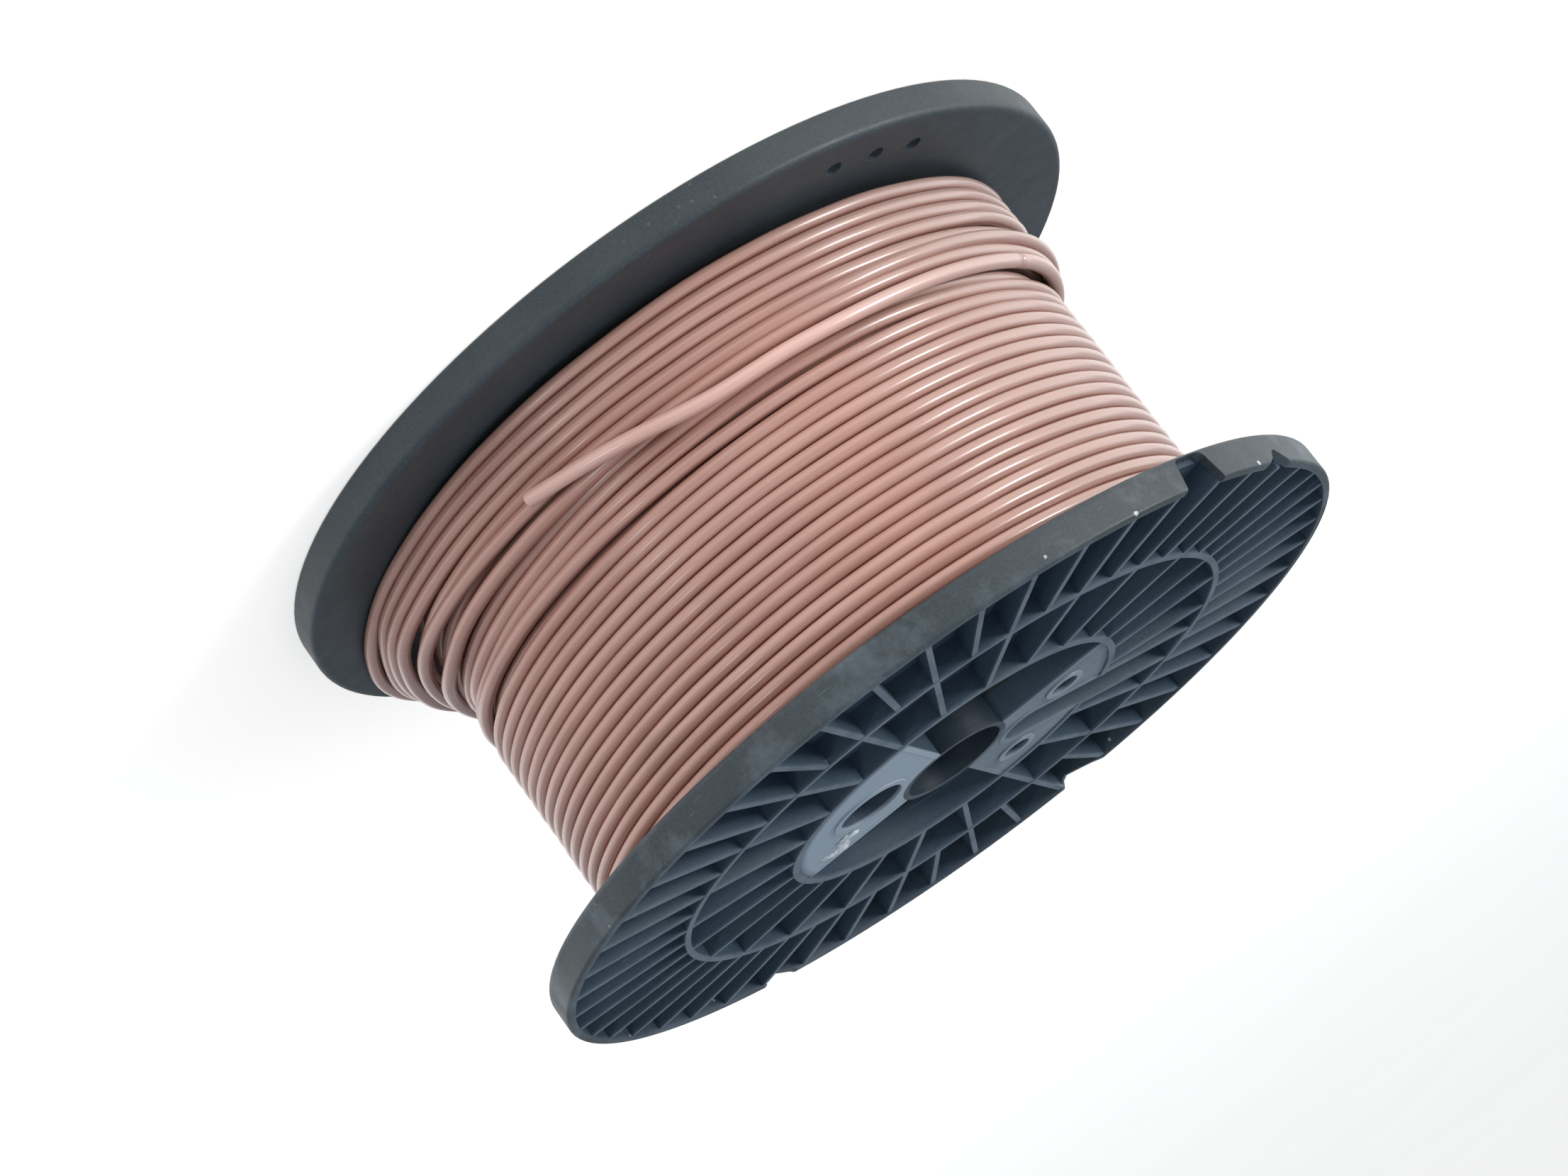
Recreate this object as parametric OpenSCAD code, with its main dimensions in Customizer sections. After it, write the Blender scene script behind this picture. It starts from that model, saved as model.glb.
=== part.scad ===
// Wire spool: two ribbed flanges on a core tube, wound with one length of insulated wire.
// The spool's axis is Z. It stands on the far flange, and the near flange is on top.
// Angles are measured about Z from +X, where the near flange has its drive hole.

/* [Flanges] */
// Diameter of the two flanges
flange_d = 200; // [190:1:210]
// Thickness of a flange over its rim and ribs
flange_t = 8; // [7.6:0.1:8.6]
// Thickness of the disc that carries the ribs
disc_t = 2; // [1.6:0.1:2.4]
// Thickness of the rim wall
rim_t = 2; // [1.8:0.1:2.4]
// Rounding of the rim's edge at the outer face
rim_round = 0.8; // [0.4:0.1:0.8]
// Rounding of the rim's edge at the winding face
rim_shoulder = 1.6; // [0.8:0.1:1.6]
// How far the rib tops lie below the rim's outer face
rib_drop = 0.4; // [0.2:0.1:0.8]
// Thickness of the radial ribs
rib_t = 1.4; // [1.2:0.1:1.6]
// Number of long ribs, with a short rib between each two
long_ribs = 24; // [24:12:24]
// Outer diameter of the ring wall halfway out
mid_ring_d = 140.4; // [136:0.2:146]
// Thickness of the ring wall halfway out
mid_ring_t = 1.5; // [1.2:0.1:1.8]

/* [Hub] */
// Diameter of the centre bore
bore_d = 24; // [22:0.5:25]
// Wall of the tube that lines the bore
arbor_wall = 1.5; // [1.2:0.1:1.6]
// Outer diameter of the hub's ring wall
hub_ring_d = 85; // [84:0.5:87]
// Thickness of the hub's ring wall
hub_ring_t = 1.7; // [1.5:0.1:2]
// Thickness of the hub plates
plate_t = 2; // [1.6:0.1:2.4]
// How far the hub plates lie below the rim's outer face
plate_drop = 0.6; // [0.4:0.1:1]
// Diameter of the drive hole
drive_hole_d = 15.6; // [14:0.2:16]
// Distance of the drive hole from the axis
drive_hole_offset = 24.3; // [24:0.1:25]
// Diameter of the two small holes
pilot_hole_d = 6.6; // [5:0.2:7]
// Distance of the small holes from the axis
pilot_hole_offset = 29; // [28:0.5:30]
// Half the angle between the two small holes
pilot_half_angle = 28.5; // [27:0.5:30]
// Width of the wire channel, inside its walls
channel_w = 11.8; // [10:0.2:12]

/* [Core] */
// Outer diameter of the barrel
barrel_d = 88; // [88:0.5:90]
// Wall of the barrel
barrel_wall = 2.5; // [2.2:0.1:2.5]
// Clear width between the flanges
clear_w = 89.6; // [89.6:0.1:90.4]
// Length of each flange's spigot inside the barrel
spigot_len = 10; // [6:1:16]

/* [Wire] */
// Outside diameter of the insulated wire
wire_d = 3.3; // [3.1:0.05:3.3]
// Diameter of the copper core
core_d = 1.8; // [1.4:0.1:2]
// Diameter over the tidy outer layer of turns
winding_d = 158; // [150:1:160]
// Number of tidy turns in the outer layer next to the near flange
near_turn_count = 17; // [17:1:17]
// Number of crossing turns in the middle of the outer layer
crossover_turn_count = 3; // [3:1:3]
// Number of turns in the outer layer next to the far flange, and in the raised layer on it
far_turn_count = 7; // [7:1:7]

/* [Hidden] */
$fn = 128;
cut = 0.5;                                  // how far a cutting shape runs past a face

near_z = flange_t + clear_w;                // inner face of the near flange
rim_r = flange_d / 2;
rim_inner_r = rim_r - rim_t;
mid_outer_r = mid_ring_d / 2;
mid_inner_r = mid_outer_r - mid_ring_t;
hub_outer_r = hub_ring_d / 2;
hub_inner_r = hub_outer_r - hub_ring_t;
rib_top = flange_t - rib_drop;
ring_top = rib_top + 0.15;                  // the ring walls stand a little above the ribs
plate_top = flange_t - plate_drop;
rib_embed = 0.4;                            // how far a rib runs into the walls at its ends
seam_angle = 3.75;                          // where the turned body starts, between two ribs
arbor_r = bore_d / 2 + arbor_wall;
collar_t = 1.5;
collar_len = spigot_len - 1;                // how far the collar reaches into the barrel
spoke_rise = 0.1;                           // how far the hub spokes stand above the plates
spoke_drop = 0.5;                           // how much shorter than the spigot the spokes are
spoke_gap = 0.05;                           // what is left between a spoke and the bore tube
barrel_r = barrel_d / 2;
spigot_r = barrel_r - barrel_wall;
spigot_t = 2.2;

boss_wall = 1.6;
boss_len = 10;                              // how far a boss reaches down from its lip
lip_h = 0.4;                                // how far a boss stands above the hub plate
plate_half_angle = 45;
channel_wall = 1.4;
floor_rise = 0.3;                           // height of the channel's underside above the winding face
channel_end_x = 15.6;                       // distance of the channel's round end from the axis

notch_depth = 7.2;                          // the deep notch, centred in the gap between two ribs
notch_top_w = 12.4;
notch_bottom_w = 9.4;
notch_round = 2;
notch_angle = 258.75;
// The shallow notches are worn and uneven. Each has an angle, and an outline of points that are
// a distance along the rim and a depth.
shallow_notches = [
    [86.25, [[-6, 0], [-5, 2.4], [-1.3, 2.2], [3, 0.8], [3.9, 0]]],
    [138.75, [[-6.2, 0], [-5.2, 1.8], [-3.9, 2.5], [-1, 1.9], [3, 1], [6.2, 0]]],
    [242, [[-5.2, 0], [-0.8, 3.2], [0.5, 3.2], [2.6, 1.4], [5.2, 0]]]
];

far_turn = 3.75;                            // the far flange is pressed on turned by half a rib gap
anchor_hole_d = 4;
anchor_r = 90;
anchor_angles = [-90, -97.5, -105];

wire_r = wire_d / 2;
layer_r = winding_d / 2 - wire_r;           // radius of the outer layer's wire centres
inner_r = layer_r - wire_r;                 // radius over the hidden layers
raised_r = layer_r + wire_d;                // the loose layer lies a wire higher
turn_count = near_turn_count + crossover_turn_count + far_turn_count;
first_turn_z = flange_t + (clear_w - turn_count * wire_d) / 2 + wire_r;

// The free end lies on the turns. Each point is an angle, a radius and a height.
tail_route = [[-119, 81.4, 34.5], [-109, 81.4, 34.5], [-99, 81.4, 34.6], [-89, 81.6, 34.9],
              [-79, 82.2, 35.1], [-70, 83, 35.1], [-63, 83.6, 35.2], [-58, 83.9, 34.9],
              [-53, 84, 33.8], [-48, 84, 32.2], [-43, 84, 30.6], [-38, 84, 29.1],
              [-33, 84.1, 27.7], [-28.5, 84.3, 26.3]];
ripple_gap = 0.06;                          // what is left between two ripples
tail_sides = 8;
tail_steps = 4;                             // rings swept between two points of the route
core_proud = 0.4;                           // how far the cut core stands out of the insulation

// ---- Curves ----

function polar(p) = [p[1] * cos(p[0]), p[1] * sin(p[0]), p[2]];

// A smooth curve through the points p, at the fraction t from point i to point i + 1.
function clamped(p, i) = p[max(0, min(len(p) - 1, i))];
function smooth_point(p, i, t) =
    let (a = clamped(p, i - 1), b = clamped(p, i), c = clamped(p, i + 1), d = clamped(p, i + 2))
    0.5 * (2 * b + (c - a) * t + (2 * a - 5 * b + 4 * c - d) * t * t
           + (3 * b - a - 3 * c + d) * t * t * t);
function smooth_path(p, steps) = [
    for (i = [0 : len(p) - 2]) for (k = [0 : steps - 1]) polar(smooth_point(p, i, k / steps)),
    polar(p[len(p) - 1])
];

function unit(v) = v / norm(v);
function heading(path, i) =
    unit(path[min(len(path) - 1, i + 1)] - path[max(0, i - 1)]);
// A ring of points around the path, square to its heading.
function ring_points(path, i, r, sides) =
    let (along = heading(path, i), side = unit(cross(along, [0, 0, 1])), up = cross(side, along))
    [for (k = [0 : sides - 1])
        path[i] + r * (cos(360 * k / sides) * side + sin(360 * k / sides) * up)];

module swept_tube(path, r, sides) {
    rings = len(path);
    points = [for (i = [0 : rings - 1]) each ring_points(path, i, r, sides)];
    start_cap = [[for (k = [0 : sides - 1]) k]];
    end_cap = [[for (k = [sides - 1 : -1 : 0]) (rings - 1) * sides + k]];
    walls = [for (i = [0 : rings - 2]) for (k = [0 : sides - 1])
        [i * sides + k, (i + 1) * sides + k,
         (i + 1) * sides + (k + 1) % sides, i * sides + (k + 1) % sides]];
    polyhedron(points = points, faces = concat(start_cap, walls, end_cap));
}

tail_path = smooth_path(tail_route, tail_steps);
tail_end = tail_path[len(tail_path) - 1];
tail_heading = heading(tail_path, len(tail_path) - 1);

// ---- Flange features. A flange is drawn with its winding face at z = 0 and its outer face up ----

module tube(outer_r, inner_r, z_low, z_high) {
    translate([0, 0, z_low]) difference() {
        cylinder(r = outer_r, h = z_high - z_low);
        translate([0, 0, -cut]) cylinder(r = inner_r, h = z_high - z_low + 2 * cut);
    }
}

// A wedge of a disc between two angles, made from a polygon that reaches past the radius r.
module sector(r, from, to) {
    reach = r * 1.3;
    polygon([[0, 0], for (a = [from, (from + to) / 2, to]) [reach * cos(a), reach * sin(a)]]);
}

// A quarter circle of radius r about the centre c, as points from one angle to another.
function arc(c, r, from, to, steps = 6) =
    [for (k = [0 : steps]) let (a = from + (to - from) * k / steps) c + r * [cos(a), sin(a)]];

// Disc, rim, the two ring walls and the spigot, all turned from one outline. Its start is
// turned away from the ribs.
module turned_body() {
    rotate(seam_angle) rotate_extrude() polygon(concat(
        [[spigot_r - spigot_t, -spigot_len], [spigot_r, -spigot_len], [spigot_r, 0]],
        arc([rim_r - rim_shoulder, rim_shoulder], rim_shoulder, -90, 0),
        arc([rim_r - rim_round, flange_t - rim_round], rim_round, 0, 90),
        [[rim_inner_r, flange_t], [rim_inner_r, disc_t],
         [mid_outer_r, disc_t], [mid_outer_r, ring_top], [mid_inner_r, ring_top], [mid_inner_r, disc_t],
         [hub_outer_r, disc_t], [hub_outer_r, ring_top], [hub_inner_r, ring_top], [hub_inner_r, disc_t],
         [spigot_r - spigot_t, disc_t]]));
}

module rib(from_r, to_r, z_low, z_high) {
    translate([from_r, -rib_t / 2, z_low]) cube([to_r - from_r, rib_t, z_high - z_low]);
}

module ribs() {
    pitch = 360 / long_ribs;
    for (k = [0 : long_ribs - 1]) {
        opposite = abs(k * pitch - 180) < pitch / 2;
        from_r = opposite ? mid_outer_r - rib_embed : hub_outer_r - rib_embed;
        rotate(k * pitch) rib(from_r, rim_inner_r + rib_embed, disc_t - rib_embed, rib_top);
        rotate((k + 0.5) * pitch)
            rib(mid_outer_r - rib_embed, rim_inner_r + rib_embed, disc_t - rib_embed, rib_top);
    }
}

// The channel that leads the wire's inner end out from the hub: a long slot with a round end.
module channel_outline(grow, end_r) {
    half = channel_w / 2 + grow;
    round_x = channel_end_x + channel_w / 2;
    translate([-round_x, 0]) circle(r = half);
    translate([-end_r, -half]) square([end_r - round_x, 2 * half]);
}

module hub_plates() {
    translate([0, 0, plate_top - plate_t]) linear_extrude(plate_t) intersection() {
        difference() {
            circle(r = hub_inner_r + rib_embed);
            circle(r = arbor_r);
        }
        plate_sectors();
    }
}

module plate_sectors() {
    sector(hub_outer_r, -plate_half_angle, plate_half_angle);
    sector(hub_outer_r, 180 - plate_half_angle, 180 + plate_half_angle);
}

// The collar grips the bore tube behind the plates, and leaves it open to the two pockets.
module collar() {
    translate([0, 0, -collar_len]) linear_extrude(collar_len + plate_top - plate_t / 2) intersection() {
        difference() {
            circle(r = arbor_r + collar_t);
            circle(r = arbor_r);
        }
        plate_sectors();
    }
}

module hub_spokes() {
    for (a = [45, 135, 225, 315])
        rotate(a) rib(arbor_r + spoke_gap, hub_inner_r + rib_embed,
                      spoke_drop - spigot_len, plate_top + spoke_rise);
}

module pilot_places() {
    for (side = [-1, 1]) rotate(180 + side * pilot_half_angle)
        translate([pilot_hole_offset, 0, 0]) children();
}

module bosses() {
    boss_top = plate_top + lip_h;
    translate([drive_hole_offset, 0, boss_top - boss_len])
        cylinder(r = drive_hole_d / 2 + boss_wall, h = boss_len);
    pilot_places() translate([0, 0, boss_top - boss_len])
        cylinder(r = pilot_hole_d / 2 + boss_wall, h = boss_len);
}

module boss_bores() {
    translate([drive_hole_offset, 0, -spigot_len])
        cylinder(r = drive_hole_d / 2, h = spigot_len + flange_t + cut);
    pilot_places() translate([0, 0, -spigot_len])
        cylinder(r = pilot_hole_d / 2, h = spigot_len + flange_t + cut);
}

// One flange without its notches or anchor holes.
module flange_moulding() {
    difference() {
        union() {
            turned_body();
            ribs();
            hub_spokes();
            hub_plates();
            collar();
            bosses();
            translate([0, 0, floor_rise]) linear_extrude(rib_top - floor_rise) difference() {
                channel_outline(channel_wall, mid_inner_r + rib_embed);
                circle(r = arbor_r);
            }
        }
        translate([0, 0, disc_t]) linear_extrude(flange_t)
            channel_outline(0, mid_inner_r - rib_embed);
        boss_bores();
    }
}

// Cuts the rim from inside to outside. The outline's x runs along the rim, and its y = 0 is the
// outer face.
module rim_cut(angle) {
    rotate(angle) translate([rim_inner_r - cut, 0, flange_t]) rotate([90, 0, 90])
        linear_extrude(rim_t + 2 * cut) children();
}

module deep_notch_outline() {
    flat = notch_bottom_w / 2 - notch_round;
    round_y = notch_round - notch_depth;
    for (side = [-1, 1]) translate([side * flat, round_y]) circle(r = notch_round, $fn = 32);
    translate([-flat, -notch_depth]) square([2 * flat, notch_round]);
    polygon([[-notch_bottom_w / 2, round_y], [notch_bottom_w / 2, round_y],
             [notch_top_w / 2, cut], [-notch_top_w / 2, cut]]);
}

module shallow_notch_outline(points) {
    polygon(concat([for (p = points) [p.x, -p.y]],
                   [[points[len(points) - 1].x, cut], [points[0].x, cut]]));
}

// ---- Sub-parts ----

module near_flange() {
    color([0.25, 0.29, 0.33]) translate([0, 0, near_z]) difference() {
        flange_moulding();
        rim_cut(notch_angle) deep_notch_outline();
        for (notch = shallow_notches) rim_cut(notch[0]) shallow_notch_outline(notch[1]);
    }
}

module far_flange() {
    color([0.24, 0.27, 0.3]) translate([0, 0, flange_t]) rotate(far_turn) mirror([0, 0, 1])
        difference() {
            flange_moulding();
            for (a = anchor_angles) rotate(a - far_turn)
                translate([anchor_r, 0, -cut]) cylinder(d = anchor_hole_d, h = disc_t + 2 * cut);
        }
}

module barrel() {
    color([0.22, 0.25, 0.28]) tube(barrel_r, spigot_r, flange_t, near_z);
}

module arbor_tube() {
    color([0.35, 0.39, 0.43])
        tube(arbor_r, bore_d / 2, flange_t - plate_top, near_z + plate_top);
}

module inner_winding() {
    color([0.66, 0.5, 0.46]) tube(inner_r, barrel_r, flange_t, near_z);
}

// Turns that lie side by side, as one ring with a ripple for each wire.
module turn_band(first, count, centre_r) {
    low = first_turn_z - wire_r + first * wire_d;
    rotate_extrude() {
        for (k = [0 : count - 1]) translate([centre_r, low + (k + 0.5) * wire_d])
            circle(r = wire_r - ripple_gap / 2, $fn = 48);
        translate([centre_r - wire_r, low]) square([wire_r, count * wire_d]);
    }
}

module far_turns() {
    color([0.74, 0.58, 0.53]) turn_band(0, far_turn_count, layer_r);
}

module crossover_turns() {
    color([0.72, 0.55, 0.5]) turn_band(far_turn_count, crossover_turn_count, layer_r);
}

module near_turns() {
    color([0.76, 0.6, 0.55])
        turn_band(far_turn_count + crossover_turn_count, near_turn_count, layer_r);
}

module raised_turns() {
    color([0.78, 0.62, 0.57])
        turn_band(0, far_turn_count, raised_r);
}

module wire_tail() {
    color([0.82, 0.66, 0.6]) swept_tube(tail_path, wire_r, tail_sides);
}

// The core is a short stub, square to the cut.
module tail_conductor() {
    turn = atan2(tail_heading.y, tail_heading.x);
    tilt = acos(tail_heading.z);
    color([0.8, 0.5, 0.35]) translate(tail_end) rotate([0, tilt, turn])
        cylinder(d = core_d, h = core_proud, $fn = 24);
}

near_flange();
far_flange();
barrel();
arbor_tube();
inner_winding();
near_turns();
crossover_turns();
far_turns();
raised_turns();
wire_tail();
tail_conductor();
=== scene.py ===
"""Wire spool: two ribbed plastic flanges on a core tube, wound with insulated wire.

Lengths in this file are in millimetres unless a name ends in _M, and MM turns them into
the frame's metres. Materials and lights work in metres. Angles are in degrees about the
spool's axis, from the near flange's drive hole.
"""
import math
import bmesh
import bpy
import numpy as np
from mathutils import Matrix, Vector, noise


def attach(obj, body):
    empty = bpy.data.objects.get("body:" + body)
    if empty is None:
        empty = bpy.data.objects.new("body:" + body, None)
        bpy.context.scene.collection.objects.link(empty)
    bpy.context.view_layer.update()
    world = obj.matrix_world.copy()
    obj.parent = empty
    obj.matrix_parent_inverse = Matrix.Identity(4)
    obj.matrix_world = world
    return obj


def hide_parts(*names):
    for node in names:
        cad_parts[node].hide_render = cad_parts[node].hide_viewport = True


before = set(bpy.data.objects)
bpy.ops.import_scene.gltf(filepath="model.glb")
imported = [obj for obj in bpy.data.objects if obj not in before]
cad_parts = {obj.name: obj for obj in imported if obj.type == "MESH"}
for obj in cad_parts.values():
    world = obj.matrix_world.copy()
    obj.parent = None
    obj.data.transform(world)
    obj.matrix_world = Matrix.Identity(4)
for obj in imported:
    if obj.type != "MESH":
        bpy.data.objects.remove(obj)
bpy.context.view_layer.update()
scene = bpy.context.scene
BODY = "root"
MM = 0.001

# ---- Camera ----

AIM_M = Vector((0.00615, 0.00382, 0.05152))
CAMERA_DISTANCE_M = 0.80688
CAMERA_AZIMUTH = -55.27
CAMERA_ELEVATION = 15.87
CAMERA_ROLL = -143.405
LENS = 84.93
SENSOR = 36.0


def from_angles(azimuth, elevation):
    """The unit vector that points that way."""
    a, e = math.radians(azimuth), math.radians(elevation)
    return Vector((math.cos(e) * math.cos(a), math.cos(e) * math.sin(a), math.sin(e)))


def turned_to(direction, roll):
    """A rotation whose -Z axis points along direction, rolled about it."""
    forward = direction.normalized()
    level = forward.cross(Vector((0, 0, 1))).normalized()
    upright = level.cross(forward)
    r = math.radians(roll)
    right = level * math.cos(r) - upright * math.sin(r)
    up = upright * math.cos(r) + level * math.sin(r)
    return Matrix((right, up, -forward)).transposed()


camera_data = bpy.data.cameras.new("camera")
camera_data.lens = LENS
camera_data.sensor_width = SENSOR
camera_data.clip_start = 0.01
camera = bpy.data.objects.new("camera", camera_data)
scene.collection.objects.link(camera)
to_camera = from_angles(CAMERA_AZIMUTH, CAMERA_ELEVATION)
camera.matrix_world = (
    Matrix.Translation(AIM_M + CAMERA_DISTANCE_M * to_camera)
    @ turned_to(-to_camera, CAMERA_ROLL).to_4x4()
)
scene.camera = camera

# ---- Sizes that the CAD model has too ----

WIRE_D = 3.3
WIRE_R = WIRE_D / 2
NEAR_Z = 97.6                       # inner face of the near flange
FAR_Z = 8.0                         # inner face of the far flange
LAYER_R = 77.35                     # wire centres in the outer layer
RAISED_R = 80.65                    # wire centres in the layer on top of it
FLANGE_T = 8.0
PLATE_DROP = 0.6                    # how far the hub plates lie below a flange's outer face
BARREL_R = 44.0
CORE_D = 1.8
# The free end's route: an angle, a radius and a height for each point.
TAIL_ROUTE = [
    (-119, 81.4, 34.5), (-109, 81.4, 34.5), (-99, 81.4, 34.6), (-89, 81.6, 34.9),
    (-79, 82.2, 35.1), (-70, 83, 35.1), (-63, 83.6, 35.2), (-58, 83.9, 34.9),
    (-53, 84, 33.8), (-48, 84, 32.2), (-43, 84, 30.6), (-38, 84, 29.1),
    (-33, 84.1, 27.7), (-28.5, 84.3, 26.3),
]
TAIL_STEPS = 6                      # how many pieces each stretch of the route is cut into
ROUND_SIDES = 20                    # sides of the free end and its core


def polar(angle, radius, height):
    a = math.radians(angle)
    return np.array((radius * math.cos(a), radius * math.sin(a), height))


def smooth_route(route, steps):
    """Points on a smooth curve through the route's points."""
    p = [np.array(q, float) for q in route]
    out = []
    for i in range(len(p) - 1):
        a, b, c, d = p[max(0, i - 1)], p[i], p[i + 1], p[min(len(p) - 1, i + 2)]
        for k in range(steps):
            t = k / steps
            q = 0.5 * (
                2 * b + (c - a) * t + (2 * a - 5 * b + 4 * c - d) * t**2
                + (3 * b - a - 3 * c + d) * t**3
            )
            out.append(polar(*q))
    out.append(polar(*p[-1]))
    return np.array(out)


# ---- Mesh helpers ----

CUT_SHRINK = 0.9                    # how narrow a strand's rounded end is


def new_object(name, vertices, faces, materials, smooth=True):
    """A mesh object in the scene. Where it is smooth, the flat caps of its tubes stay flat."""
    mesh = bpy.data.meshes.new(name)
    mesh.from_pydata([tuple(v) for v in vertices], [], faces)
    mesh.validate()
    mesh.update()
    if smooth:
        # Only the flat caps of a tube have more than four sides.
        mesh.polygons.foreach_set("use_smooth", [p.loop_total <= 4 for p in mesh.polygons])
    for m in materials:
        mesh.materials.append(m)
    obj = bpy.data.objects.new(name, mesh)
    scene.collection.objects.link(obj)
    return obj


def tube(path, radius, sides, start_shrink=CUT_SHRINK, end_shrink=CUT_SHRINK):
    """Vertices, in metres, and faces of a closed tube along path. An end narrows to its shrink,
    as a rounded cut does, and is left square where that is 1."""
    path = np.asarray(path, float)
    n = len(path)
    along = np.gradient(path, axis=0)
    along /= np.linalg.norm(along, axis=1)[:, None]
    out = path.copy()
    out[:, 2] = 0
    out -= along * np.sum(out * along, axis=1)[:, None]
    out /= np.linalg.norm(out, axis=1)[:, None]
    side = np.cross(along, out)
    radii = np.full(n, float(radius))
    # An extra ring rounds a cut end off.
    for last, shrink in ((False, start_shrink), (True, end_shrink)):
        if shrink == 1:
            continue
        at, inward = (-1, -1.0) if last else (0, 1.0)
        ring_at = path[at] + inward * along[at] * radius * (1 - shrink)
        where = len(path) - 1 if last else 1
        path = np.insert(path, where, ring_at, axis=0)
        out = np.insert(out, where, out[at], axis=0)
        side = np.insert(side, where, side[at], axis=0)
        along = np.insert(along, where, along[at], axis=0)
        radii = np.insert(radii, where, radius)
        radii[at] = radius * shrink
    n = len(path)
    turn = np.linspace(0, 2 * math.pi, sides, endpoint=False)
    ring = (np.cos(turn)[None, :, None] * out[:, None, :]
            + np.sin(turn)[None, :, None] * side[:, None, :])
    points = (path[:, None, :] + radii[:, None, None] * ring).reshape(-1, 3) * MM
    faces = []
    for i in range(n - 1):
        for k in range(sides):
            k2 = (k + 1) % sides
            faces.append((i * sides + k, i * sides + k2, (i + 1) * sides + k2, (i + 1) * sides + k))
    faces.append(tuple(range(sides - 1, -1, -1)))
    faces.append(tuple((n - 1) * sides + k for k in range(sides)))
    return points, faces


def joined(parts):
    """Several (points, faces) as one."""
    points, faces, start = [], [], 0
    for p, f in parts:
        points.extend(map(tuple, p))
        faces.extend(tuple(i + start for i in face) for face in f)
        start += len(p)
    return points, faces


def lathe(profile, segments):
    """A closed ring from a closed outline of (radius, height) points."""
    turn = np.linspace(0, 2 * math.pi, segments, endpoint=False)
    points = [(r * math.cos(t) * MM, r * math.sin(t) * MM, z * MM) for t in turn for r, z in profile]
    m = len(profile)
    faces = []
    for i in range(segments):
        j = (i + 1) % segments
        for k in range(m):
            k2 = (k + 1) % m
            faces.append((i * m + k, j * m + k, j * m + k2, i * m + k2))
    return points, faces


# ---- Materials ----


class Surface:
    """A material with short calls for its nodes."""

    # The mix node has sockets for each kind of data. These are the ones for colours.
    MIX_A = 6
    MIX_B = 7
    MIX_RESULT = 2

    def __init__(self, name, roughness=0.5, metallic=0.0, specular=0.5):
        self.material = bpy.data.materials.new(name)
        self.material.use_nodes = True
        self.tree = self.material.node_tree
        self.shader = self.tree.nodes["Principled BSDF"]
        self.shader.inputs["Roughness"].default_value = roughness
        self.shader.inputs["Metallic"].default_value = metallic
        self.shader.inputs["Specular IOR Level"].default_value = specular
        self.place = self.add("ShaderNodeTexCoord").outputs["Object"]

    def add(self, kind, **settings):
        node = self.tree.nodes.new(kind)
        for key, value in settings.items():
            setattr(node, key, value)
        return node

    def feed(self, socket, value):
        if isinstance(value, bpy.types.NodeSocket):
            self.tree.links.new(value, socket)
        else:
            socket.default_value = value

    def math(self, operation, a, b=0.0):
        node = self.add("ShaderNodeMath", operation=operation)
        self.feed(node.inputs[0], a)
        self.feed(node.inputs[1], b)
        return node.outputs[0]

    def span(self, value, low, high, to_low=0.0, to_high=1.0):
        """Value from low to high as to_low to to_high, held at both ends."""
        node = self.add("ShaderNodeMapRange", clamp=True)
        self.feed(node.inputs["Value"], value)
        node.inputs["From Min"].default_value = low
        node.inputs["From Max"].default_value = high
        node.inputs["To Min"].default_value = to_low
        node.inputs["To Max"].default_value = to_high
        return node.outputs["Result"]

    def stretched(self, scale):
        node = self.add("ShaderNodeMapping")
        self.feed(node.inputs["Vector"], self.place)
        node.inputs["Scale"].default_value = scale
        return node.outputs["Vector"]

    def noise(self, scale, detail, roughness, vector=None):
        node = self.add("ShaderNodeTexNoise")
        self.feed(node.inputs["Vector"], self.place if vector is None else vector)
        node.inputs["Scale"].default_value = scale
        node.inputs["Detail"].default_value = detail
        node.inputs["Roughness"].default_value = roughness
        return node.outputs["Fac"]

    def cells(self, scale):
        node = self.add("ShaderNodeTexVoronoi")
        self.feed(node.inputs["Vector"], self.place)
        node.inputs["Scale"].default_value = scale
        return node.outputs["Distance"]

    def mix(self, amount, a, b):
        node = self.add("ShaderNodeMix", data_type="RGBA")
        self.feed(node.inputs["Factor"], amount)
        self.feed(node.inputs[self.MIX_A], a)
        self.feed(node.inputs[self.MIX_B], b)
        return node.outputs[self.MIX_RESULT]

    def bump(self, height, distance, strength, under=None):
        node = self.add("ShaderNodeBump")
        node.inputs["Strength"].default_value = strength
        node.inputs["Distance"].default_value = distance
        self.feed(node.inputs["Height"], height)
        if under is not None:
            self.feed(node.inputs["Normal"], under)
        return node.outputs["Normal"]

    def colour(self, value):
        self.feed(self.shader.inputs["Base Color"], value)

    def rough(self, value):
        self.feed(self.shader.inputs["Roughness"], value)

    def normal(self, value):
        self.feed(self.shader.inputs["Normal"], value)

    def axes(self):
        node = self.add("ShaderNodeSeparateXYZ")
        self.feed(node.inputs[0], self.place)
        return node.outputs

    def distance_to(self, point):
        node = self.add("ShaderNodeVectorMath", operation="DISTANCE")
        self.feed(node.inputs[0], self.place)
        node.inputs[1].default_value = point
        return node.outputs["Value"]

    def radius(self):
        x, y, _ = self.axes()
        return self.math("SQRT", self.math("ADD", self.math("MULTIPLY", x, x),
                                           self.math("MULTIPLY", y, y)))


def rgb(r, g, b):
    return (r, g, b, 1.0)


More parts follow.
